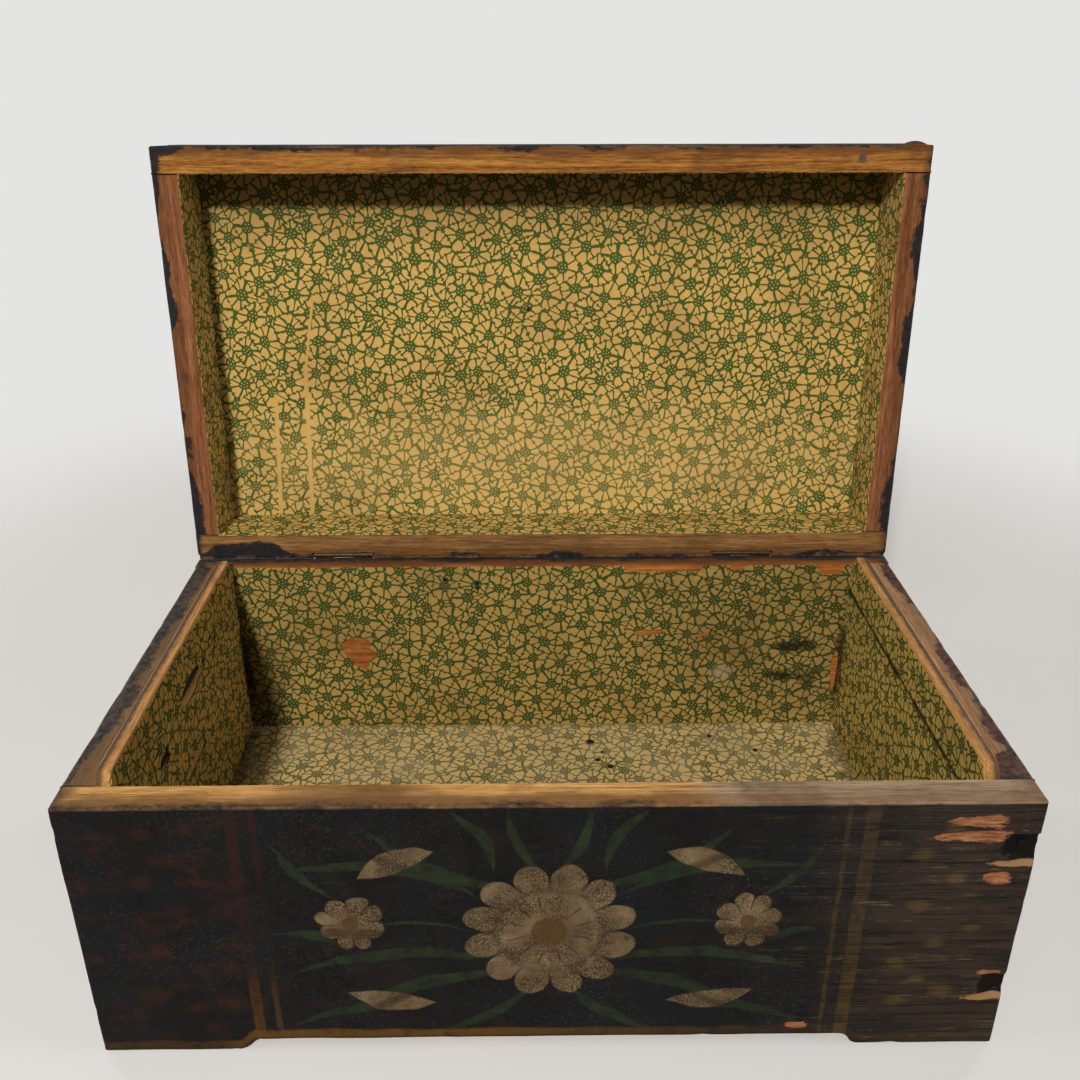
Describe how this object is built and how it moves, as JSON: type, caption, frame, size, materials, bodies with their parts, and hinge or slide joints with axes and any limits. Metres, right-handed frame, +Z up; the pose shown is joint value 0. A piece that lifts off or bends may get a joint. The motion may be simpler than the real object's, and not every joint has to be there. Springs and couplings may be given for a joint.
{
  "type": "document box",
  "caption": "Rectangular wooden document box on low bracket feet with a hinged lid, dark painted outside and lined with flowered paper.",
  "frame": {"origin": "on the ground under the middle of the box's footprint", "axes": "+X to the right along the front, +Y to the back, +Z up"},
  "size_m": [0.38, 0.2688, 0.3444],
  "materials": {
    "painted_wood": "old near-black paint, worn to brown wood on the edges",
    "bare_wood": "bare pine, aged",
    "lining_paper": "ochre paper printed with green flowers",
    "nail_iron": "dark oxidised iron",
    "hinge_brass": "aged brass"
  },
  "bodies": {
    "box": {"front_board": "painted_wood", "back_board": "painted_wood", "left_side_board": "painted_wood", "right_side_board": "painted_wood", "bottom_board": "bare_wood", "left_liner_lower": "bare_wood", "left_liner_upper": "bare_wood", "right_liner_lower": "bare_wood", "right_liner_upper": "bare_wood", "front_lining_paper": "lining_paper", "back_lining_paper": "lining_paper", "floor_lining_paper": "lining_paper", "left_lower_paper": "lining_paper", "left_upper_paper": "lining_paper", "right_lower_paper": "lining_paper", "right_upper_paper": "lining_paper", "front_nails": "nail_iron", "back_nails": "nail_iron", "left_hinge_box_leaf": "hinge_brass", "right_hinge_box_leaf": "hinge_brass", "left_hinge_pin": "hinge_brass", "right_hinge_pin": "hinge_brass", "box_hinge_screws": "hinge_brass"},
    "lid": {"lid_front_rail": "painted_wood", "lid_back_rail": "painted_wood", "lid_left_stile": "painted_wood", "lid_right_stile": "painted_wood", "lid_top_panel": "painted_wood", "lid_top_paper": "lining_paper", "lid_front_paper": "lining_paper", "lid_back_paper": "lining_paper", "lid_left_paper": "lining_paper", "lid_right_paper": "lining_paper", "lid_frame_nails": "nail_iron", "lid_panel_nails": "nail_iron", "lid_rim_nail": "nail_iron", "left_hinge_lid_leaf": "hinge_brass", "right_hinge_lid_leaf": "hinge_brass", "lid_hinge_screws": "hinge_brass"}
  },
  "joints": [
    {"name": "lid_hinge", "type": "hinge", "parent": "box", "child": "lid", "pos_m": [0, 0.1062, 0.1321], "axis": [1, 0, 0], "range_deg": [0, 94.2]}
  ]
}
